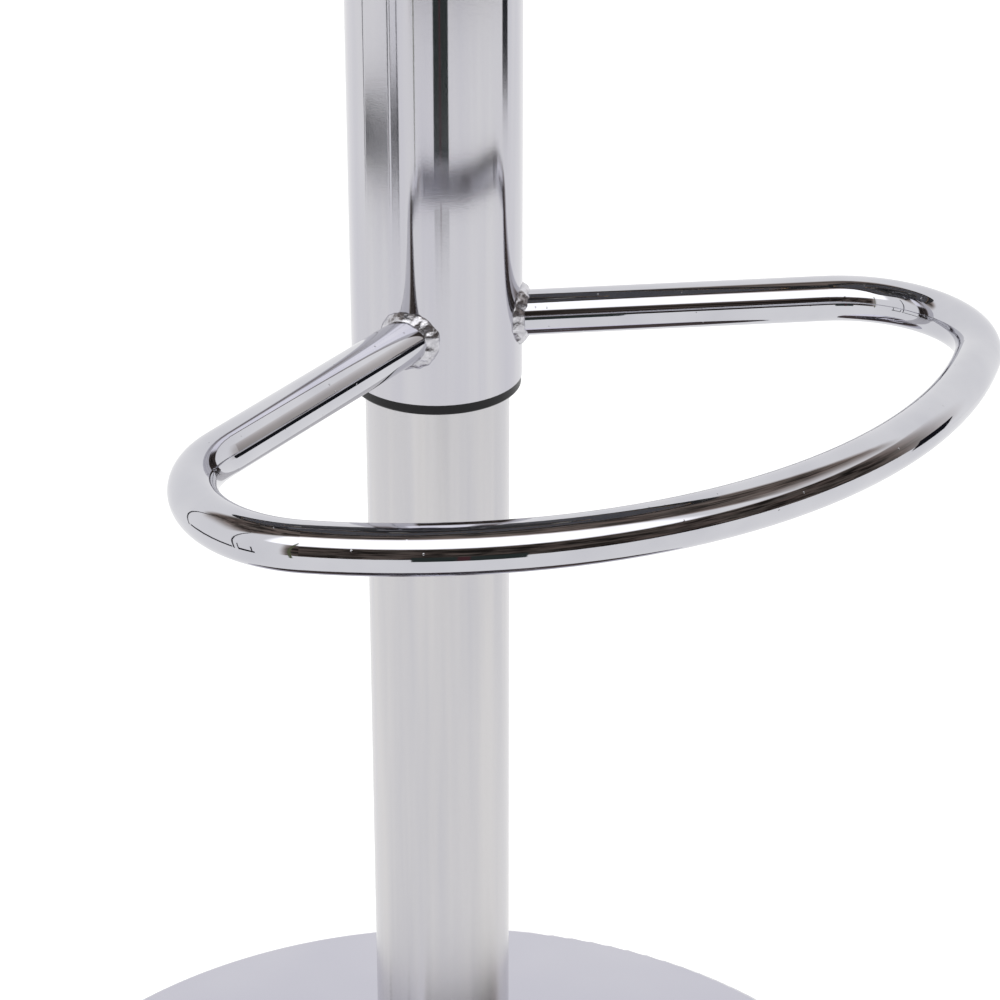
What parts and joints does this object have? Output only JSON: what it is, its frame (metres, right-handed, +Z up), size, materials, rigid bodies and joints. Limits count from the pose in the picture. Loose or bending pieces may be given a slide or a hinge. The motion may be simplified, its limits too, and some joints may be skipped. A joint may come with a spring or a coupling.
{
  "type": "adjustable swivel stool",
  "caption": "Tall stool on a weighted round base: a sleeve with a D-shaped foot ring rises on a gas spring and turns, and a lever under the padded seat lowers it.",
  "frame": {"origin": "on the floor, on the axis of the column", "axes": "+Z up along the column; -Y to the front, where the foot ring reaches out; -X on the side of the lever"},
  "size_m": [0.385, 0.385, 0.8295],
  "materials": {
    "chrome_tube": "polished",
    "chrome_base": "polished",
    "weld": "satin",
    "black_rubber": "matte",
    "cast_ballast": "matte",
    "zinc_steel": "satin",
    "plain_steel": "satin",
    "ground_steel": "polished",
    "black_plastic": "satin",
    "black_paint": "satin",
    "zinc_lever": "polished",
    "plywood": "matte",
    "foam": "matte",
    "seat_leatherette": "satin",
    "backing_cloth": "matte"
  },
  "bodies": {
    "base": {"base_shell": "chrome_base", "base_ballast": "cast_ballast", "base_floor_ring": "black_rubber", "base_bolts": "zinc_steel", "base_bolt_washers": "zinc_steel", "column_flange": "plain_steel", "column_flange_weld": "weld", "column_collar": "chrome_base", "lower_column": "chrome_tube", "column_end_disc": "plain_steel", "column_guide_bush": "black_plastic", "bearing_lower_race": "ground_steel"},
    "swivel_shaft": {"piston_rod": "ground_steel", "piston_head": "plain_steel", "piston_ring": "black_rubber", "bearing_upper_race": "ground_steel", "rubber_bumper": "black_rubber", "rod_washer": "zinc_steel", "rod_clip": "zinc_steel"},
    "ball_cage": {"bearing_cage": "black_plastic", "bearing_balls": "ground_steel"},
    "lift": {"gas_cylinder": "black_paint", "cylinder_gland": "black_plastic", "valve_body": "plain_steel", "upper_sleeve": "chrome_tube", "sleeve_glide_bush": "black_plastic", "foot_ring": "chrome_tube", "foot_ring_welds": "weld", "seat_plate": "black_paint", "taper_socket": "black_paint", "sleeve_top_weld": "weld", "lever_bracket": "black_paint", "lever_pivot_pin": "zinc_steel", "lever_pivot_clips": "zinc_steel", "seat_board": "plywood", "seat_t_nuts": "zinc_steel", "seat_screws": "zinc_steel", "seat_screw_washers": "zinc_steel", "seat_foam": "foam", "seat_cover": "seat_leatherette", "seat_dust_cover": "backing_cloth"},
    "lever": {"lever_arm": "zinc_lever", "lever_rod": "zinc_lever", "lever_grip": "black_plastic"},
    "release_pin": {"release_pin": "ground_steel"}
  },
  "joints": [
    {"name": "seat_swivel", "type": "hinge", "parent": "base", "child": "swivel_shaft", "pos_m": [0, 0, 0.02], "axis": [0, 0, 1], "continuous": true},
    {"name": "cage_turn", "type": "hinge", "parent": "base", "child": "ball_cage", "pos_m": [0, 0, 0.02], "axis": [0, 0, 1], "continuous": true},
    {"name": "seat_height", "type": "slide", "parent": "swivel_shaft", "child": "lift", "axis": [0, 0, 1], "range_m": [-0.21, 0]},
    {"name": "lever_lift", "type": "hinge", "parent": "lift", "child": "lever", "pos_m": [-0.03, 0, 0.728], "axis": [0, 1, 0], "range_deg": [0, 6], "stiffness_Nm_per_rad": 4, "springref_deg": -1.72},
    {"name": "pin_press", "type": "slide", "parent": "lift", "child": "release_pin", "axis": [0, 0, 1], "range_m": [-0.0033, 0]}
  ],
  "couplings": [
    {"joint": "cage_turn", "follows": "seat_swivel", "ratio": 0.5},
    {"joint": "pin_press", "follows": "lever_lift", "m_per_rad": -0.03}
  ]
}
